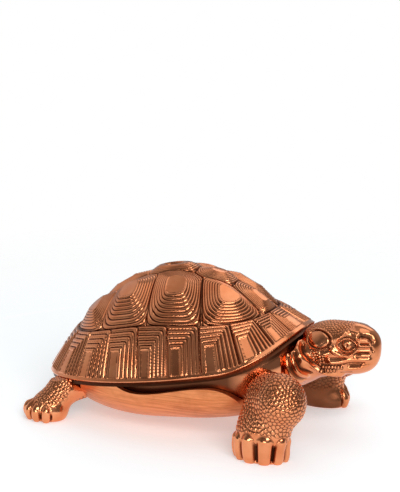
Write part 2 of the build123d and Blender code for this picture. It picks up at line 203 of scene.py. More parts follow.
def cut_from(form, tool, blend):
    """The form with the tool taken out, with edges rounded by about the blend."""
    near = np.maximum(blend - np.abs(form + tool), 0) / blend
    return np.maximum(form, -tool) + near * near * blend / 4


def point_normals(points, faces):
    """Outward directions at the points of a closed mesh."""
    corners = points[faces]
    across = np.cross(corners[:, 2] - corners[:, 0], corners[:, 3] - corners[:, 1])
    normals = np.zeros_like(points)
    for corner in range(4):
        np.add.at(normals, faces[:, corner], across)
    return normals / np.maximum(np.linalg.norm(normals, axis=1, keepdims=True), 1e-9)


def nearest_seeds(seeds, points, count):
    """Numbers of the seeds that are nearest to each point, the nearest one first."""
    tree = KDTree(len(seeds))
    for index, seed in enumerate(seeds):
        tree.insert(seed, index)
    tree.balance()
    found = [tree.find_n(point, count) for point in points]
    return np.array([[hit[1] for hit in hits] for hits in found])


def pebbles(points, spacing, seed):
    """Way from each point to the nearest joint between pebbles that lie about this far apart."""
    closest = 0.82 * spacing
    evening_rounds = 3
    rng = np.random.default_rng(seed)
    cells = {}
    centres = []
    for index in rng.permutation(len(points)):
        point = points[index]
        cell = tuple((point // spacing).astype(int))
        around = [
            other
            for dx in (-1, 0, 1) for dy in (-1, 0, 1) for dz in (-1, 0, 1)
            for other in cells.get((cell[0] + dx, cell[1] + dy, cell[2] + dz), ())
        ]
        if all(np.sum((point - other) ** 2) > closest ** 2 for other in around):
            cells.setdefault(cell, []).append(point)
            centres.append(point)
    centres = np.array(centres)
    for _ in range(evening_rounds):
        owner = nearest_seeds(centres, points, 1)[:, 0]
        totals = np.zeros_like(centres)
        np.add.at(totals, owner, points)
        shares = np.bincount(owner, minlength=len(centres))[:, None]
        centres = np.where(shares > 0, totals / np.maximum(shares, 1), centres)
    nearest = nearest_seeds(centres, points, 2)
    first = centres[nearest[:, 0]]
    second = centres[nearest[:, 1]]
    apart = np.maximum(np.linalg.norm(second - first, axis=1), tiny)
    gap = np.sum((points - second) ** 2, axis=1) - np.sum((points - first) ** 2, axis=1)
    return gap / (2 * apart)


# Materials
class Value:
    """A number that changes over a surface; sums and products of it add Math nodes."""

    def __init__(self, finish, socket):
        self.finish = finish
        self.socket = socket

    def math(self, operation, first, second):
        return self.finish.math_of(operation, first, second)

    def __add__(self, other):
        return self.math("ADD", self, other)

    def __radd__(self, other):
        return self.math("ADD", other, self)

    def __sub__(self, other):
        return self.math("SUBTRACT", self, other)

    def __rsub__(self, other):
        return self.math("SUBTRACT", other, self)

    def __mul__(self, other):
        return self.math("MULTIPLY", self, other)

    def __rmul__(self, other):
        return self.math("MULTIPLY", other, self)


class Finish:
    """A node material for one kind of surface."""

    def __init__(self, name):
        self.material = bpy.data.materials.new(name)
        self.material.use_nodes = True
        self.tree = self.material.node_tree
        self.tree.nodes.clear()
        self.surface = self.tree.nodes.new("ShaderNodeBsdfPrincipled")
        output = self.tree.nodes.new("ShaderNodeOutputMaterial")
        self.tree.links.new(self.surface.outputs[0], output.inputs[0])

    def put(self, socket, value):
        if isinstance(value, Value):
            self.tree.links.new(value.socket, socket)
        else:
            socket.default_value = value

    def node(self, kind, settings=None, inputs=None, output=0):
        made = self.tree.nodes.new(kind)
        for name, setting in (settings or {}).items():
            setattr(made, name, setting)
        for name, value in (inputs or {}).items():
            self.put(made.inputs[name], value)
        return Value(self, made.outputs[output])

    def math_of(self, operation, first, second):
        return self.node("ShaderNodeMath", {"operation": operation}, {0: first, 1: second})

    def field(self, name):
        """The numbers that the mesh holds under this name."""
        return self.node("ShaderNodeAttribute", {"attribute_name": name}, output="Fac")

    def noise(self, size, detail=3.0, roughness=0.5, place=None):
        """Cloudy noise with spots of about this size in metres."""
        if place is None:
            place = self.node("ShaderNodeTexCoord", output="Object")
        inputs = {"Vector": place, "Scale": 1 / size, "Detail": detail, "Roughness": roughness}
        return self.node("ShaderNodeTexNoise", {}, inputs)

    def stretched_place(self, stretch):
        """Object places scaled differently along X, Y and Z."""
        place = self.node("ShaderNodeTexCoord", output="Object")
        return self.node("ShaderNodeMapping", {}, {"Vector": place, "Scale": stretch})

    def between(self, low, high, value):
        """0 below low, 1 above high, and even in between."""
        inputs = {"Value": value, "From Min": low, "From Max": high}
        return self.node("ShaderNodeMapRange", {}, inputs)

    def mix_colours(self, share, first, second):
        settings = {"data_type": "RGBA"}
        return self.node("ShaderNodeMix", settings, {0: share, 6: first, 7: second}, output=2)

    def bump(self, height, distance, strength=1.0, under=None):
        inputs = {"Height": height, "Distance": distance, "Strength": strength}
        if under is not None:
            inputs["Normal"] = under
        return self.node("ShaderNodeBump", {}, inputs)

    def finish(self, **inputs):
        for name, value in inputs.items():
            self.put(self.surface.inputs[name.replace("_", " ")], value)
        return self.material


def polished_copper(name, roughness=0.10, patina_and_shade_strength=0.96):
    """Cast and polished copper: dark with patina in the grooves, darkened by painted shade where the
    mesh field holds it, faintly clouded and hand-polished on the ridges.
    """
    copper = Finish(name)
    # The mesh field holds patina in grooves, seams and joints, and painted shade on the legs' inner
    # sides and beside the ear.
    patina_and_shade = copper.field("patina_and_shade")
    cloud = copper.noise(0.012, 4.0)
    grain = copper.noise(0.0011, 3.0)
    hammer = copper.noise(0.0045, 2.0)
    bright = (0.85, 0.325, 0.150, 1.0)
    warm = (0.74, 0.240, 0.098, 1.0)
    dark = (0.045, 0.013, 0.006, 1.0)
    tone = copper.mix_colours(copper.between(0.35, 0.65, cloud), bright, warm)
    tone = copper.mix_colours(patina_and_shade * patina_and_shade_strength, tone, dark)
    skin = copper.bump(hammer, 0.0004, 0.10)
    skin = copper.bump(grain, 0.00006, 0.35, skin)
    gloss = roughness + 0.06 * cloud + 0.28 * patina_and_shade
    return copper.finish(Base_Color=tone, Metallic=1.0, Roughness=gloss, Normal=skin)


# Shields of the shell, laid out in plan: ahead of the middle of the shell and out from its ridge
# Seams between the shields of the rim, from the tail to the head: inner end, then outer end
rim_seams = (
    ((-66.0, 12.0), (-93.0, 19.0)),
    ((-57.0, 25.5), (-76.0, 38.5)),
    ((-43.5, 35.8), (-53.0, 52.5)),
    ((-25.7, 42.2), (-27.5, 60.0)),
    ((-4.7, 44.6), (-2.0, 63.8)),
    ((15.5, 43.9), (19.0, 63.4)),
    ((35.1, 39.6), (41.0, 58.8)),
    ((51.5, 30.8), (64.0, 49.0)),
    ((62.8, 20.4), (81.0, 30.0)),
    ((68.5, 7.0), (87.0, 12.5)),
)
# Oval on which the side shields meet the shields of the rim
inner_oval_middle = -1.0
inner_oval_length = 69.5
inner_oval_width = 44.8
inner_oval_power = 2.25

# Shields of one side, then of the ridge: middle of the smooth field, then corners
side_shields = (
    ((47.0, 14.5), ((28.0, 10.5), (46.0, 7.0), (64.0, 10.5), (82.0, 40.0), (38.0, 42.0))),
    ((14.5, 19.8), ((-4.8, 9.8), (21.0, 7.5), (28.0, 10.5), (38.0, 48.0), (0.6, 52.0))),
    ((-22.5, 16.5), ((-36.0, 9.0), (-14.0, 7.0), (-4.8, 9.8), (0.6, 52.0), (-37.5, 46.0))),
    ((-50.0, 14.0), ((-60.0, 7.0), (-52.0, 6.5), (-36.0, 9.0), (-37.5, 46.0), (-74.0, 30.0))),
)
ridge_shields = (
    ((60.5, 0.0),
     ((46.0, 7.0), (46.0, -7.0), (64.0, -10.5), (80.0, -8.0), (80.0, 8.0), (64.0, 10.5))),
    ((34.5, 0.0),
     ((21.0, 7.5), (21.0, -7.5), (28.0, -10.5), (46.0, -7.0), (46.0, 7.0), (28.0, 10.5))),
    ((4.0, 0.0),
     ((-14.0, 7.0), (-14.0, -7.0), (-4.8, -9.8), (21.0, -7.5), (21.0, 7.5), (-4.8, 9.8))),
    ((-34.0, 0.0),
     ((-52.0, 6.5), (-52.0, -6.5), (-36.0, -9.0), (-14.0, -7.0), (-14.0, 7.0), (-36.0, 9.0))),
    ((-62.0, 0.0),
     ((-80.0, 12.0), (-80.0, -12.0), (-60.0, -7.0), (-52.0, -6.5), (-52.0, 6.5), (-60.0, 7.0))),
)
# Growth rings of the shields: how many, how far each steps down and how far it bulges
shield_ring_count = 7
shield_ring_drop = 0.40
rim_ring_count = 5
rim_ring_drop = 0.26
ring_bulge = 1.35
# Smooth field in the middle of a shield, and how round the rings are about it
smooth_field_share = 0.36
shield_roundness = 3.4
shield_squareness = 0.45
# Smooth field of a shield on the rim: where it starts and ends along the rim, and its top
rim_field_rear = 0.17
rim_field_front = 0.40
rim_field_top = 0.47
rim_roundness = 9
# How far the shields stand proud of the dome, and the seams between them
shield_rise = 1.6
rim_shield_rise = 0.8
deepest_ring = 3.4
seam_depth = 0.9
seam_half_width = 0.55
# Plain bands along the edge of the rim and round the crown hole: inner end, outer end and rise
edge_band = (1.6, 2.6)
edge_rise = 0.55
crown_band = (2.5, 6.0)
crown_rise = 0.6
# The edge rolled under the rim
edge_turns = (25, 60, 95, 130, 165)
edge_inward = 1.44
edge_drop = 0.66
inner_row_count = 26
inner_darkness = 0.3


def edge_distances(corners, ahead, aside):
    """Distances in plan to each side of a convex outline, positive inside it."""
    middle = np.mean(corners, axis=0)
    distances = []
    for start, end in zip(corners, corners[1:] + corners[:1]):
        across = np.array([end[1] - start[1], start[0] - end[0]])
        across = across / np.hypot(*across)
        if np.dot(across, middle - np.array(start)) < 0:
            across = -across
        distances.append(across[0] * (ahead - start[0]) + across[1] * (aside - start[1]))
    return distances


def oval_reach(ahead, aside):
    """1 on the inner oval, less inside it and more outside."""
    x = np.abs(ahead - inner_oval_middle) / inner_oval_length
    y = np.abs(aside) / inner_oval_width
    return (x ** inner_oval_power + y ** inner_oval_power) ** (1 / inner_oval_power)


def shield_growth(shields, ahead, aside):
    """Growth from 0 in the middle of a smooth field to 1 at its shield's edge, and the way to there."""
    best = np.full(ahead.shape, -np.inf)
    growth = np.zeros(ahead.shape)
    edge = np.zeros(ahead.shape)
    for middle, corners in shields:
        here = np.array(middle)
        ways = edge_distances(corners, ahead, aside)
        ways.append((1 - oval_reach(ahead, aside)) * inner_oval_width)
        own = edge_distances(corners, here[0], here[1])
        own.append((1 - oval_reach(here[0], here[1])) * inner_oval_width)
        shares = [1 - way / full for way, full in zip(ways, own)]
        squared = np.max(shares, axis=0)
        inside = 1 - squared
        powers = [np.maximum(share, 0) ** shield_roundness for share in shares]
        rounded = np.sum(powers, axis=0) ** (1 / shield_roundness)
        rounded = rounded + (squared - rounded) * shield_squareness * ease(0.60, 1.0, squared)
        nearer = inside > best
        best = np.where(nearer, inside, best)
        growth = np.where(nearer, rounded, growth)
        edge = np.where(nearer, np.min(ways, axis=0), edge)
    return growth, edge


def rim_growth(ahead, aside, down):
    """Growth over the shields of the rim, and the way to the nearest seam."""
    ways = []
    for inner, outer in rim_seams:
        across = np.array([outer[1] - inner[1], inner[0] - outer[0]])
        across = across / np.hypot(*across)
        ways.append(across[0] * (ahead - inner[0]) + across[1] * (aside - inner[1]))
    ways = np.array(ways)
    shield = np.sum(ways > 0, axis=0)
    behind = np.take_along_axis(ways, np.maximum(shield - 1, 0)[None], 0)[0]
    before = -np.take_along_axis(ways, np.minimum(shield, len(rim_seams) - 1)[None], 0)[0]
    behind = np.where(shield == 0, aside, behind)
    last = shield == len(rim_seams)
    before = np.where(last, behind, before)
    behind = np.where(last, aside, behind)
    along = behind / np.maximum(behind + before, tiny)
    middle_one = last | (shield == 0)
    rear_side = np.where(middle_one, 0, (rim_field_rear - along) / rim_field_rear * 0.5)
    front_side = (along - rim_field_front) / (1 - rim_field_front)
    upper_side = (rim_field_top - down) / rim_field_top
    sides = np.maximum([rear_side, front_side, upper_side], 0)
    growth = np.sum(sides ** rim_roundness, axis=0) ** (1 / rim_roundness)
    edge = np.minimum(np.where(middle_one & ~last, np.inf, behind), before)
    edge = np.where(last, before, edge)
    return growth, edge


def terraces(growth, points, first, count, drop):
    """Height of rounded rings that step down from the smooth field, and the crevices between them.

    Rings too narrow to cast are flatter and fade out.
    """
    turn = np.maximum((growth - first) / (1 - first), 0) * count
    ring = np.floor(turn)
    along = (turn - ring) ** 1.3
    width = ring_pitch(growth, points) / count * (1 - first)
    shown = ease(0.6, 1.6, width) * (turn > 0)
    tube = np.sqrt(np.clip(1 - (2 * along - 1) ** 2, 0, 1))
    proud = np.minimum(ring_bulge, 0.45 * width)
    height = -drop * (ring + ease(0.2, 1.0, turn - ring)) + proud * (tube - 0.5) * shown
    crevice = (ridge(along, 1.0, 0.16) + ridge(along, 0.0, 0.12)) * shown
    return height, np.clip(crevice, 0, 1) * (turn > 0.2)


def ring_pitch(growth, points):
    """Millimetres over which the growth would change by 1."""
    down_way = np.linalg.norm(np.gradient(points, axis=0), axis=-1)
    along_way = np.linalg.norm(np.roll(points, -1, axis=1) - np.roll(points, 1, axis=1), axis=-1) / 2
    down = np.gradient(growth, axis=0) / np.maximum(down_way, tiny)
    across = (np.roll(growth, -1, axis=1) - np.roll(growth, 1, axis=1)) / 2
    along = across / np.maximum(along_way, tiny)
    longest = 1000.0
    return 1 / np.maximum(np.hypot(down, along), 1 / longest)


def shell_surface(columns=1400, rows=300):
    """Places of the dome's grid from crown hole to rim, and the way down to each and to the rim."""
    chord = np.hypot(np.diff(dome_heights) * shell_height, np.diff(dome_widths) * shell_half_width)
    chain = np.concatenate([[0], np.cumsum(chord)])
    turn = np.linspace(0, 2 * np.pi, columns, endpoint=False)[None, :]
    search_rows = 900
    fine = np.linspace(0, chain[-1], search_rows)[:, None]

    def oval_points(way):
        up = smooth_through(chain, dome_heights, way) * shell_height
        front = smooth_through(chain, dome_fronts, way) * shell_front
        rear = smooth_through(chain, dome_rears, way) * shell_rear
        half = smooth_through(chain, dome_widths, way) * shell_half_width
        centring = crown_hole_ahead * (1 - ease(0, crown_centring_reach, way))
        ahead = (front - rear) / 2 + centring + (front + rear) / 2 * np.cos(turn)
        return ahead, half * np.sin(turn), up

    ahead, aside, up = oval_points(fine)
    bend = np.clip(ahead - rim_flat_reach, 0, rim_rise_radius * 0.97)
    rise = rim_rise_radius - np.sqrt(rim_rise_radius ** 2 - bend ** 2)
    above = up > rise
    last = above.shape[0] - 1 - np.argmax(above[::-1], axis=0)
    end = fine[last, 0]
    start = crown_hole_radius * 0.9
    way = start + (end[None, :] - start) * np.linspace(0, 1, rows)[:, None]
    ahead, aside, up = oval_points(way)
    return ahead, aside, np.broadcast_to(up, ahead.shape), way, end


def make_shell():
    """The lid: ringed outer face, rolled rim, smooth inner face and the hole in the crown."""
    ahead, aside, up, way, end = shell_surface()
    base = from_rim_plane(ahead, aside, up)
    outward = grid_normals(base)
    side = np.abs(aside)
    reach = oval_reach(ahead, side)
    shield_rings, shield_edge = shield_growth(side_shields + ridge_shields, ahead, side)
    on_rim = reach > 1
    inner_row = np.argmax(on_rim, axis=0)
    start_way = np.take_along_axis(way, inner_row[None], 0)
    down = np.clip((way - start_way) / (end[None] - start_way), 0, 1)
    rim_rings, rim_edge = rim_growth(ahead, side, down)
    shield_steps, shield_crevice = terraces(
        shield_rings, base, smooth_field_share, shield_ring_count, shield_ring_drop)
    rim_steps, rim_crevice = terraces(rim_rings, base, 0.0, rim_ring_count, rim_ring_drop)
    shield_relief = shield_rise + np.maximum(shield_steps, -deepest_ring)
    relief = np.where(on_rim, rim_shield_rise + rim_steps, shield_relief)
    crevice = np.where(on_rim, rim_crevice, shield_crevice)
    oval_way = np.abs(reach - 1) * inner_oval_width
    seam_way = np.minimum(np.where(on_rim, rim_edge, shield_edge), oval_way)
    seam = ridge(seam_way, 0, seam_half_width)
    relief = relief - seam_depth * seam
    ringed = ease(*edge_band, end[None] - way)
    relief = relief * ringed + (1 - ringed) * edge_rise
    clear_of_crown = ease(*crown_band, way)
    relief = relief * clear_of_crown + (1 - clear_of_crown) * crown_rise
    crevice = np.maximum(crevice, seam) * ringed
    outer = base + outward * relief[..., None]

    rolled = []
    for turn in np.radians(edge_turns):
        inward = edge_inward * (1 - np.cos(turn))
        down_step = np.array([0, 0, -edge_drop * np.sin(turn)])
        rolled.append(outer[-1] - outward[-1] * inward + down_step)
    rolled = np.array(rolled)
    rows = (np.linspace(1, 0, inner_row_count) * (len(outer) - 1)).astype(int)
    inner = base[rows] - outward[rows] * shell_wall
    points = np.concatenate([outer, rolled, inner])
    inner_recess = np.full(inner.shape[:2], inner_darkness)
    patina_and_shade = np.concatenate([crevice, np.zeros(rolled.shape[:2]), inner_recess])
    faces = grid_faces(points.shape[0], points.shape[1], rows_close=True)
    piece = mesh_of("shell_lid", points.reshape(-1, 3), faces, {"patina_and_shade": patina_and_shade.ravel()})
    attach(piece, "shell")
    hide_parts("carapace")
    piece.data.materials.append(polished_copper("shell_copper"))
    return piece


make_shell()


# Legs, head and tail: cast pieces with pebble scales
body_pitch = 0.40
head_pitch = 0.36
tail_pitch = 0.25
scale_size = 2.7
hind_scale_size = 0.95 * scale_size
head_scale_size = 1.9
tail_scale_size = 1.8
scale_height = 0.55
# Shares of a scale's size: its rounded margin and the dark joint round it
scale_margin = 0.42
joint_margin = 0.17
# Rounding of a sole where the figure meets the ground
sole_rounding = 1.2


def scaled_skin(points, faces, size, where, seed):
    """The skin with pebble scales of this size where the share is above zero, and their joints."""
    joint = pebbles(points, size, seed)
    rise = 1 - (1 - np.clip(joint / (scale_margin * size), 0, 1)) ** 2.2
    normals = point_normals(points, faces)
    lift = scale_height * (size / scale_size) * (rise - 0.45) * where
    groove = (1 - ease(0.05, joint_margin * size, joint)) * where
    return points + normals * lift[:, None], groove


def cast_piece(name, node, points, faces, patina_and_shade, finish):
    """A cast piece of the figure that takes the place of its plain solid."""
    piece = mesh_of(name, points + np.array([shell_x, 0, 0]), faces, {"patina_and_shade": patina_and_shade})
    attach(piece, "figure")
    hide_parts(node)
    piece.data.materials.append(finish)
    return piece


def claw_ridges(points, side, middle, half_sizes, claw_turns, top):
    """Lift of the claws round a foot, how deep the grooves between them are, and the scales' lower edge.

    The claws' turns are degrees from straight ahead, negative away from the body.
    """
    x = (points[:, 0] - middle[0]) / half_sizes[0]
    y = (side * points[:, 1] - middle[1]) / half_sizes[1]
    z = points[:, 2]
    turn = np.degrees(np.arctan2(-y, x))
    turn = np.where(turn > 90, turn - 360, turn)
    turns = np.array(claw_turns, float)
    gaps = np.diff(turns)
    first_edge = turns[0] - gaps[0] / 2
    last_edge = turns[-1] + gaps[-1] / 2
    edges = np.concatenate([[first_edge], (turns[:-1] + turns[1:]) / 2, [last_edge]])
    claw = np.clip(np.searchsorted(edges, turn) - 1, 0, len(turns) - 1)
    half_gap = np.where(turn < turns[claw], turns[claw] - edges[claw], edges[claw + 1] - turns[claw])
    off = np.abs(turn - turns[claw]) / half_gap
    on_claws = 1 - ease(1.0, 1.12, off)
    off = np.clip(off, 0, 1)
    middle_rise = 0.2
    cuff = top * (1 + middle_rise * ridge(turn, np.mean(turns), 60.0))
    root_bow = 5.0
    height = cuff - root_bow * off ** 2
    shown = on_claws * ease(0.0, 4.0, height - z)
    groove = ease(0.60, 0.95, off) * ease(0.2, 1.6, z)
    claw_rise = 2.2
    claw_sink = 0.8
    groove_depth = 1.4
    lift = (claw_rise * (1 - off ** 2) - claw_sink - groove_depth * groove) * shown
    root = ridge(z, height, 0.7) * on_claws * (off < 0.85)
    return lift - 0.5 * root, np.maximum(groove * shown, 0.7 * root), cuff


def dressed_leg(clay, form, side, name, node, seed, size, foot, claw_turns, claw_top, smooth_front):
    """A leg with pebble scales above its claws, and painted shade on the side towards the body."""
    points, faces = clay.skin(form)
    normals = point_normals(points, faces)
    lift, between, cuff = claw_ridges(points, side, foot[0], foot[1], claw_turns, claw_top)
    off_sole = normals[:, 2] > -0.8
    points = points + normals * (lift * off_sole)[:, None]
    scaled = ease(-0.6, 0.8, points[:, 2] - cuff)
    if smooth_front:
        scaled = scaled * (1 - ease(0.62, 0.80, normals[:, 0]))
    points, groove = scaled_skin(points, faces, size, scaled, seed)
    points[:, 2] = np.maximum(points[:, 2], 0)
    # painted shade on the side of the leg that faces the body
    inner_side_shade = 0.8 * ease(0.25, 0.75, -side * normals[:, 1])
    patina_and_shade = np.maximum(np.maximum(groove, between), inner_side_shade)
    return cast_piece(name, node, points, faces, patina_and_shade, leg_finish)


def fore_leg(side, stride, reach, name, node, seed):
    """A front leg set forward by its stride, with its foot ahead of the wrist by its reach."""
    low = (56, -76, -3) if side < 0 else (48, 28, -3)
    high = (114, -28, 60) if side < 0 else (106, 76, 60)
    clay = Clay(low, high, body_pitch)

    def at(x, y, z, shift=1.0):
        return (x + stride * shift, side * y, z)

    form = joined([
        clay.ball(at(79, 42, 39, 0.0), (11, 12, 12)),
        clay.rod(at(78.5, 48, 36, 0.3), at(75.0, 52, 13), 12.0, 13.0),
        clay.ball(at(91, 53.5, 38, 0.6), (18.0, 15.5, 17.0), turn=side * -50 + 90),
        clay.ball(at(83 - reach / 2, 56.5, 19), (16.0 - 0.6 * reach, 12.0, 15.0)),
        clay.ball(at(79.5 + reach, 54.5, 4.6), (17.0, 11.8, 12.4 - 0.8 * reach)),
    ], 6.0)
    form = cut_from(form, clay.z, sole_rounding)
    foot = (79.5 + reach + stride, 54.5), (16.0, 11.0)
    turns = (-162, -134, -104, -66, -30, 8)
    claw_top = 16.5 - reach
    return dressed_leg(
        clay, form, side, name, node, seed, scale_size, foot, turns, claw_top, smooth_front=False)


def hind_leg(side, name, node, seed):
    """A hind leg: a stout thigh from under the rim and a broad foot turned out and back."""
    low = (-96, -70, -3) if side < 0 else (-96, 24, -3)
    high = (-42, -24, 36) if side < 0 else (-42, 70, 36)
    clay = Clay(low, high, body_pitch)

    def at(x, y, z):
        return (x, side * y, z)

    form = joined([
        clay.rod(at(-58, 37.5, 19), at(-65, 44, 19), 8.0, 9.5),
        clay.rod(at(-65, 44, 19), at(-71.5, 51, 10), 9.5, 10.2),
        clay.ball(at(-74.5, 52.5, 5.0), (14.6, 10.8, 9.0)),
    ], 5.0)
    form = cut_from(form, clay.z, sole_rounding)
    rim_plane = rim_height + np.tan(rim_tilt) * clay.x
    below_rim = 0.6
    form = np.maximum(form, clay.z - rim_plane + below_rim)
    foot = (-75.0, 52.5), (14.0, 10.3)
    turns = (-198, -162, -128, -97, -66)
    claw_top = 11.5
    return dressed_leg(
        clay, form, side, name, node, seed, hind_scale_size, foot, turns, claw_top, smooth_front=True)


leg_finish = polished_copper("leg_copper", roughness=0.11)
fore_leg(-1, 0.0, 0.0, "right_fore_leg", "fore_leg_right", seed=3)
fore_leg(1, -8.0, 3.0, "left_fore_leg", "fore_leg_left", seed=4)
hind_leg(-1, "right_hind_leg", "hind_leg_right", seed=5)
hind_leg(1, "left_hind_leg", "hind_leg_left", seed=6)


# Head details in side view, in millimetres ahead of the middle of the shell and up from the ground
eye_middle = (116.9, 65.6)
eye_tilt = np.radians(6.0)
eye_half_length = 6.2
eye_half_height = 3.7
eyeball_radius = 3.1
ear_middle = (98.4, 66.6)
ear_half_length = 8.0
ear_half_height = 4.8
bead_rows = (((102.5, 50.2), (115.0, 51.2)), ((101.5, 48.0), (110.5, 48.6)))
bead_radius = 0.95

# Folds that stand proud: half width, rise and the line they follow
raised_folds = (
    (1.2, 1.0, ((113.6, 72.2), (116.1, 73.2), (119.1, 73.6), (122.0, 73.0), (124.2, 71.2))),
    (1.0, 0.9, ((106.6, 63.3), (109.2, 60.8), (113.5, 58.9), (118.2, 58.8), (121.9, 60.8))),
    (0.45, 0.6,
     ((93.4, 61.3), (97.7, 61.7), (101.9, 63.2), (104.9, 65.4), (107.4, 67.0), (110.7, 68.6))),
    (1.4, 0.8,
     ((107.7, 53.6), (112.8, 54.4), (117.0, 56.0), (121.2, 57.2), (125.0, 57.2), (130.0, 56.6))),
    (1.4, 0.7, ((111.7, 48.6), (118.0, 49.8), (124.3, 51.2), (129.3, 53.2))),
    (0.8, 0.9, ((122.6, 68.8), (126.8, 69.2), (130.2, 67.9))),
    (0.8, 0.8, ((121.6, 63.4), (126.5, 62.9), (130.6, 63.0))),
    (1.5, 2.0,
     ((85.0, 61.8), (87.0, 59.0), (90.1, 55.4), (94.5, 50.6),
      (98.8, 47.8), (104.4, 45.8), (112.0, 45.4))),
    (1.2, 1.4, ((84.4, 58.0), (86.6, 53.6), (88.8, 48.4), (91.6, 43.0))),
    (1.1, 1.3, ((81.6, 57.0), (83.2, 51.0), (85.6, 44.0), (88.0, 39.0))),
)
# Creases that are cut in: half width, depth, darkness and the line they follow
cut_creases = (
    (1.0, 1.4, 1.0, ((123.6, 71.0), (126.7, 71.7), (129.8, 70.6), (131.2, 68.0))),
    (0.8, 1.3, 1.0, ((125.6, 66.8), (129.2, 66.5))),
    (0.5, 0.8, 0.9, ((121.8, 65.2), (126.1, 64.8), (131.1, 64.7), (132.0, 62.2))),
    (0.9, 1.1, 1.0, ((122.3, 60.3), (126.2, 61.0), (129.9, 60.6))),
    (0.4, 0.6, 1.0, ((123.0, 58.7), (129.4, 58.4))),
    (0.45, 0.9, 0.95,
     ((101.0, 51.9), (106.5, 52.0), (112.4, 52.6), (118.7, 54.4), (122.9, 55.0), (127.5, 54.8))),
    (1.1, 1.3, 0.75, ((119.0, 52.9), (121.7, 53.1), (125.0, 53.5))),
    (0.35, 0.5, 0.8, ((112.9, 47.3), (119.7, 48.2))),
    (0.5, 0.7, 0.8, ((107.0, 56.6), (112.3, 57.0), (116.1, 57.3))),
    # painted shade: this crease's darkness stands for the shade between the ear and the bag under the
    # eye
    (1.3, 0.7, 0.75, ((101.0, 59.8), (105.0, 61.6), (108.0, 65.0))),
    (0.8, 1.1, 1.0, ((88.4, 61.6), (91.2, 57.6), (95.2, 53.0), (99.3, 50.0), (103.0, 47.9))),
    (0.8, 1.3, 1.0, ((86.2, 58.4), (88.9, 54.0), (91.0, 48.9), (94.2, 44.6))),
    (0.8, 1.1, 0.9, ((83.2, 56.4), (85.2, 51.2), (87.4, 45.6), (90.0, 40.4))),
)


def way_to_line(x, z, line):
    """Distance in side view from each point to a line of joined stretches."""
    nearest = np.full(x.shape, np.inf)
    for (start_x, start_z), (end_x, end_z) in zip(line, line[1:]):
        way_x, way_z = end_x - start_x, end_z - start_z
        along = ((x - start_x) * way_x + (z - start_z) * way_z) / (way_x ** 2 + way_z ** 2)
        along = np.clip(along, 0, 1)
        nearest = np.minimum(nearest, np.hypot(x - start_x - along * way_x, z - start_z - along * way_z))
    return nearest


def eye_details(x, z):
    """Lift and darkness of the ball, pupil and lids of the eye, and where it leaves room for scales."""
    along = (x - eye_middle[0]) * np.cos(eye_tilt) + (z - eye_middle[1]) * np.sin(eye_tilt)
    above = (z - eye_middle[1]) * np.cos(eye_tilt) - (x - eye_middle[0]) * np.sin(eye_tilt)
    bow = eye_half_height * (1 - (along / eye_half_length) ** 2)
    lid_slope = 0.78
    lid = (np.abs(above) - bow) * lid_slope
    in_reach = 1 - ease(eye_half_length + 0.8, eye_half_length + 2.2, np.abs(along))
    from_middle = np.hypot(along, above) / eyeball_radius
    ball = 1.3 * np.sqrt(np.clip(1 - from_middle ** 2, 0, 1))
    pupil = ridge(np.hypot(along, above), 0, 0.8)
    lid_edge = 0.9 * ridge(lid, 0.2, 0.42)
    lid_fold = 0.6 * ridge(lid, 1.25, 0.5)
    lift = np.where(lid < 0, ball - 0.5, 0) + lid_edge - 0.8 * pupil - lid_fold
    round_ball = ease(0.85, 1.0, from_middle) * ease(-0.05, -0.35, lid)
    dark = np.maximum(np.maximum(0.85 * round_ball, pupil), 0.8 * ridge(lid, 1.25, 0.45))
    clear = np.maximum(ease(1.9, 2.8, lid), 1 - in_reach)
    return lift * in_reach, dark * in_reach, clear


def bead_details(x, z):
    """Lift and darkness of the rows of little beads along the jaw."""
    lift = np.zeros(x.shape)
    dark = np.zeros(x.shape)
    bead_size = 2 * bead_radius
    for (start_x, start_z), (end_x, end_z) in bead_rows:
        length = np.hypot(end_x - start_x, end_z - start_z)
        way_x, way_z = (end_x - start_x) / length, (end_z - start_z) / length
        along = (x - start_x) * way_x + (z - start_z) * way_z
        across = (z - start_z) * way_x - (x - start_x) * way_z
        bead = np.clip(np.round(along / bead_size), 0, np.floor(length / bead_size))
        off = np.hypot(along - bead * bead_size, across) / bead_radius
        lift = np.maximum(lift, 0.8 * np.sqrt(np.clip(1 - off ** 2, 0, 1)))
        dark = np.maximum(dark, ease(0.75, 1.0, off) * (1 - ease(1.2, 1.6, off)))
    return lift, dark * (lift < 0.4)


def head_details(points):
    """Lift, darkness and share of scales over the bare head, with its eye, ear, mouth and folds."""
    x, aside, z = points[:, 0], np.abs(points[:, 1]), points[:, 2]
    flank = ease(2.0, 5.5, aside)
    lift, dark, eye_clear = eye_details(x, z)
    for half_width, rise, line in raised_folds:
        lift = lift + rise * ridge(way_to_line(x, z, line), 0, half_width)
    for half_width, depth, darkness, line in cut_creases:
        crease = ridge(way_to_line(x, z, line), 0, half_width)
        lift = lift - depth * crease
        dark = np.maximum(dark, darkness * crease)
    bead_lift, bead_dark = bead_details(x, z)
    lift = lift + bead_lift
    dark = np.maximum(dark, bead_dark)

    ear = np.hypot((x - ear_middle[0]) / ear_half_length, (z - ear_middle[1]) / ear_half_height)
    ear_way = (ear - 1) * (ear_half_length + ear_half_height) / 2
    drum = 1.7 * np.sqrt(np.clip(1 - ear ** 2, 0, 1))
    lift = lift + drum - 0.8 * ridge(ear_way, 0, 0.5) + 0.5 * ridge(ear_way, 1.0, 0.45)
    dark = np.maximum(dark, ridge(ear_way, 0, 0.5))
    lift = lift * flank
    dark = dark * flank

    ear_clear = ease(1.2, 2.0, ear_way)
    crown = ease(67.5, 71.0, z + 0.12 * (104 - x)) * (1 - ease(115.0, 121.0, x))
    cheek = (1 - ease(60.0, 61.5, z)) * ease(51.6, 53.4, z)
    cheek = cheek * (1 - ease(102.0, 105.0, x)) * ease(93.0, 95.5, x)
    scaled = np.clip(crown + cheek * flank, 0, 1)
    return lift, dark, scaled * np.where(flank > 0.2, eye_clear * ear_clear, 1)


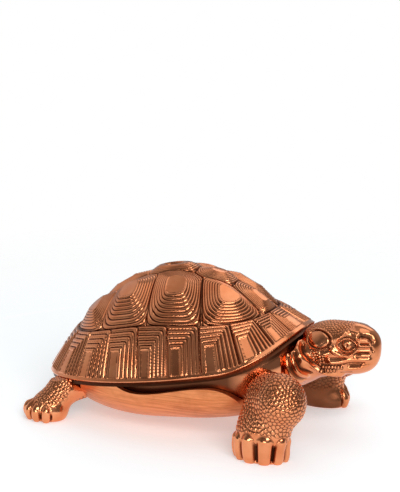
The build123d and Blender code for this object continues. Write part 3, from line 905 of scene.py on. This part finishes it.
def make_head():
    """Head and neck: a blunt beak, lidded eyes, smooth ear drums and a neck in loose folds."""
    clay = Clay((76, -31, 27), (139, 31, 80), head_pitch)
    form = joined([
        clay.ball((106.5, 0, 63.0), (23.0, 14.0, 13.2)),
        clay.ball((120.5, 0, 66.0), (13.4, 9.8, 9.6)),
        clay.ball((120.5, 0, 57.5), (13.0, 9.4, 9.6)),
        clay.ball((112.0, 0, 52.5), (17.5, 12.2, 8.6)),
        clay.ball((101.0, 6.0, 54.5), (12.0, 8.0, 11.0)),
        clay.ball((101.0, -6.0, 54.5), (12.0, 8.0, 11.0)),
        clay.rod((79.0, 0, 46.0), (99.0, 0, 55.0), 15.5, 13.0),
        clay.ball((84.5, 14.5, 49.5), (8.0, 11.0, 11.5)),
        clay.ball((84.5, -14.5, 49.5), (8.0, 11.0, 11.5)),
    ], 6.5)
    socket = clay.ball((117.0, 16.5, 65.6), (8.5, 4.6, 5.6))
    other_socket = clay.ball((117.0, -16.5, 65.6), (8.5, 4.6, 5.6))
    form = cut_from(form, np.minimum(socket, other_socket), 2.0)
    neck_end = 80.5
    form = np.maximum(form, neck_end - clay.x)
    points, faces = clay.skin(form)
    normals = point_normals(points, faces)
    lift, dark, scaled = head_details(points)
    points = points + normals * lift[:, None]
    points, groove = scaled_skin(points, faces, head_scale_size, scaled, seed=11)
    return cast_piece("turtle_head", "head", points, faces, np.maximum(groove, dark), leg_finish)


def make_tail():
    """A short scaled tail under the rear of the rim."""
    clay = Clay((-96, -6, 6), (-78, 6, 24), tail_pitch)
    form = joined([
        clay.rod((-81.5, 0, 15.6), (-88.0, 0, 14.4), 4.0, 3.0),
        clay.rod((-88.0, 0, 14.4), (-93.0, 0, 11.6), 3.0, 1.3),
    ], 2.0)
    tail_end = -80.9
    form = np.maximum(form, clay.x - tail_end)
    points, faces = clay.skin(form)
    points, groove = scaled_skin(points, faces, tail_scale_size, np.ones(len(points)), seed=12)
    return cast_piece("turtle_tail", "tail", points, faces, groove, leg_finish)


make_head()
make_tail()


def skin_copper():
    """The body's smooth skin: polished, with painted shade just under the rim of the shell and in the
    hollow along the middle of the body below it.
    """
    copper = Finish("skin_copper")
    place = copper.node("ShaderNodeTexCoord", output="Object")
    x = copper.node("ShaderNodeSeparateXYZ", {}, {0: place}, output="X")
    z = copper.node("ShaderNodeSeparateXYZ", {}, {0: place}, output="Z")
    ahead = x - shell_x * millimetre
    bend = copper.math_of("MAXIMUM", ahead - rim_flat_reach * millimetre, 0.0)
    rim = rim_height * millimetre + ahead * float(np.tan(rim_tilt))
    rim = rim + bend * bend * (0.5 / (rim_rise_radius * millimetre))
    # painted shade: darker just under the rim of the shell, and from about 2 cm under it upwards along
    # the middle of the body
    under_rim_shade = copper.between(-0.0060, -0.0034, z - rim)
    middle = copper.between(-0.085, -0.050, ahead) * (1.0 - copper.between(0.054, 0.068, ahead))
    pocket_shade = copper.between(-0.026, -0.016, z - rim) * middle
    painted_shade_share = copper.math_of("MAXIMUM", under_rim_shade * 0.9, pocket_shade * 0.89)
    cloud = copper.noise(0.014, 4.0)
    bright = (0.87, 0.34, 0.165, 1.0)
    warm = (0.76, 0.255, 0.11, 1.0)
    # colour of the painted shade
    dark = (0.05, 0.015, 0.007, 1.0)
    tone = copper.mix_colours(cloud, bright, warm)
    tone = copper.mix_colours(painted_shade_share, tone, dark)
    skin = copper.bump(copper.noise(0.006, 2.0), 0.0005, 0.10)
    return copper.finish(Base_Color=tone, Metallic=1.0, Roughness=0.09 + 0.3 * painted_shade_share, Normal=skin)


def brushed_copper():
    """The belly plate: rubbed along its length, satin and a little redder where the grain is deep."""
    copper = Finish("brushed_copper")
    streaks = copper.noise(0.05, 5.0, 0.65, copper.stretched_place((1.0, 9.0, 34.0)))
    cloud = copper.noise(0.022, 4.0, 0.6)
    light = (0.86, 0.33, 0.135, 1.0)
    deep = (0.66, 0.215, 0.075, 1.0)
    smudge = (0.45, 0.12, 0.038, 1.0)
    tone = copper.mix_colours(copper.between(0.38, 0.62, streaks), light, deep)
    tone = copper.mix_colours(copper.between(0.50, 0.72, cloud) * 0.6, tone, smudge)
    grain = copper.bump(streaks, 0.0003, 0.35)
    return copper.finish(Base_Color=tone, Metallic=1.0, Roughness=0.30 + 0.14 * streaks, Normal=grain)


def turned_metal(name, light, deep, roughness):
    """Plain machined metal with fine wear."""
    metal = Finish(name)
    wear = metal.noise(0.0009, 4.0)
    tone = metal.mix_colours(metal.between(0.3, 0.7, wear), light, deep)
    fine = metal.bump(metal.noise(0.0002, 2.0), 0.00003, 0.3)
    return metal.finish(Base_Color=tone, Metallic=1.0, Roughness=roughness + 0.12 * wear, Normal=fine)


def dress_nodes():
    """Finishes for the pieces that keep the shape of the solid model."""
    steel = turned_metal("screw_steel", (0.62, 0.61, 0.60, 1.0), (0.42, 0.41, 0.40, 1.0), 0.28)
    finishes = {
        "body_tub": skin_copper(),
        "belly_plate": brushed_copper(),
        "leg_screws": steel,
        "neck_screw": steel,
        "tail_screw": steel,
        "belly_screws": steel,
        "screw_washers": turned_metal(
            "washer_brass", (0.80, 0.60, 0.28, 1.0), (0.62, 0.43, 0.17, 1.0), 0.30),
    }
    for node, finish in finishes.items():
        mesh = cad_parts[node].data
        mesh.materials.clear()
        mesh.materials.append(finish)


dress_nodes()


# Floor, light and camera
def make_floor():
    """A pale floor that fades to white well away from the figure."""
    half = 1400
    corners = np.array([(-half, -half, 0), (half, -half, 0), (half, half, 0), (-half, half, 0)], float)
    floor = mesh_of("studio_floor", corners, np.array([[0, 1, 2, 3]]))
    paint = Finish("studio_white")
    shade = paint.noise(0.4, 2.0)
    tone = paint.mix_colours(shade * 0.1, (0.92, 0.95, 0.97, 1.0), (0.88, 0.91, 0.93, 1.0))
    place = paint.node("ShaderNodeTexCoord", output="Object")
    way = paint.node("ShaderNodeVectorMath", {"operation": "LENGTH"}, {0: place}, output="Value")
    shown = 1.0 - paint.between(0.20, 0.50, way)
    glow = paint.mix_colours(shade * 0.1, (0.95, 0.99, 1.0, 1.0), (0.93, 0.97, 0.98, 1.0))
    floor.data.materials.append(paint.finish(
        Base_Color=tone, Roughness=0.6, Alpha=shown, Emission_Color=glow, Emission_Strength=0.36))


# Light of the room: the same everywhere, then glows with a direction, faint edge, full edge and strength
figure_middle = (0.0, 0.0, 0.05)
room_base = 0.04
room_glows = (
    ((-0.454, 0.891, 0.0), -0.20, 0.50, 0.42),
    ((-1.0, 0.0, 0.25), 0.45, 0.95, 0.32),
    ((0.25, -0.15, 0.955), 0.60, 0.92, 0.14),
    ((0.93, -0.25, 0.25), 0.45, 0.92, 0.18),
    ((0.2, -0.98, 0.0), 0.60, 0.96, 0.28),
    ((-0.43, -0.41, 0.80), 0.72, 0.98, 0.12),
)


def softbox(name, place, size, strength):
    """A rectangular studio light at a place in metres, facing the figure."""
    light = bpy.data.lights.new(name, "AREA")
    light.shape = "RECTANGLE"
    light.size, light.size_y = size
    light.energy = strength
    lamp = bpy.data.objects.new(name, light)
    lamp.location = place
    lamp.rotation_euler = (Vector(figure_middle) - Vector(place)).to_track_quat("-Z", "Y").to_euler()
    bpy.context.scene.collection.objects.link(lamp)


def make_room():
    """White for the camera alone, and a dim room with soft glows for what the copper mirrors."""
    world = bpy.data.worlds.new("studio")
    bpy.context.scene.world = world
    world.use_nodes = True
    tree = world.node_tree
    tree.nodes.clear()
    seen = tree.nodes.new("ShaderNodeBackground")
    seen.inputs[0].default_value = (1.0, 1.0, 1.0, 1.0)
    room = tree.nodes.new("ShaderNodeBackground")
    way = tree.nodes.new("ShaderNodeTexCoord")
    total = room_base
    for toward, low, high, strength in room_glows:
        across = tree.nodes.new("ShaderNodeVectorMath")
        across.operation = "DOT_PRODUCT"
        across.inputs[1].default_value = toward
        tree.links.new(way.outputs["Generated"], across.inputs[0])
        bright = tree.nodes.new("ShaderNodeMapRange")
        bright.interpolation_type = "SMOOTHSTEP"
        for name, number in (("From Min", low), ("From Max", high), ("To Max", strength)):
            bright.inputs[name].default_value = number
        tree.links.new(across.outputs["Value"], bright.inputs["Value"])
        added = tree.nodes.new("ShaderNodeMath")
        tree.links.new(bright.outputs[0], added.inputs[0])
        if isinstance(total, float):
            added.inputs[1].default_value = total
        else:
            tree.links.new(total, added.inputs[1])
        total = added.outputs[0]
    tree.links.new(total, room.inputs[1])
    path = tree.nodes.new("ShaderNodeLightPath")
    mix = tree.nodes.new("ShaderNodeMixShader")
    output = tree.nodes.new("ShaderNodeOutputWorld")
    tree.links.new(path.outputs["Is Camera Ray"], mix.inputs[0])
    tree.links.new(room.outputs[0], mix.inputs[1])
    tree.links.new(seen.outputs[0], mix.inputs[2])
    tree.links.new(mix.outputs[0], output.inputs[0])


def hang_softboxes():
    """A key light ahead on the right, fill from behind and above, and a low strip for the tray."""
    softbox("key_box", (0.95, -0.92, 0.90), (0.85, 0.62), 11)
    softbox("back_box", (-0.2, 1.3, 1.1), (1.3, 0.7), 3)
    softbox("top_box", (0.25, 0.1, 1.6), (1.2, 1.2), 4)
    softbox("low_box", (0.15, -1.5, 0.16), (0.9, 0.22), 4)


# Picture size and the pixel where the middle of the shell is seen
picture_width = 400
picture_height = 492
target_across = 186
target_down = 345


def aim_camera():
    """The photograph's view: from the right of the figure, a little ahead and above."""
    azimuth = np.radians(27.0)
    elevation = np.radians(18.0)
    distance = 1.25
    target = Vector((shell_x * millimetre, 0, 0.045))
    back = Vector((
        np.sin(azimuth) * np.cos(elevation), -np.cos(azimuth) * np.cos(elevation), np.sin(elevation),
    ))
    camera_data = bpy.data.cameras.new("camera")
    camera_data.sensor_width = 36.0
    camera_data.lens = 141.0
    camera_data.clip_start = 0.05
    camera = bpy.data.objects.new("camera", camera_data)
    pixels_per_radian = camera_data.lens / camera_data.sensor_width * picture_height
    right = (-back).cross(Vector((0, 0, 1))).normalized()
    up = right.cross(-back)
    yaw = np.arctan((target_across - picture_width / 2) / pixels_per_radian)
    pitch = np.arctan((target_down - picture_height / 2) / pixels_per_radian)
    turn = Matrix.Rotation(yaw, 3, up) @ Matrix.Rotation(pitch, 3, right)
    forward = turn @ -back
    right = Matrix.Rotation(yaw, 3, up) @ right
    up = right.cross(forward)
    axes = Matrix((right, up, -forward)).transposed()
    camera.matrix_world = Matrix.Translation(target + distance * back) @ axes.to_4x4()
    bpy.context.scene.collection.objects.link(camera)
    bpy.context.scene.camera = camera


make_floor()
make_room()
hang_softboxes()
aim_camera()
bpy.context.scene.view_settings.view_transform = "Standard"

bpy.context.view_layer.update()
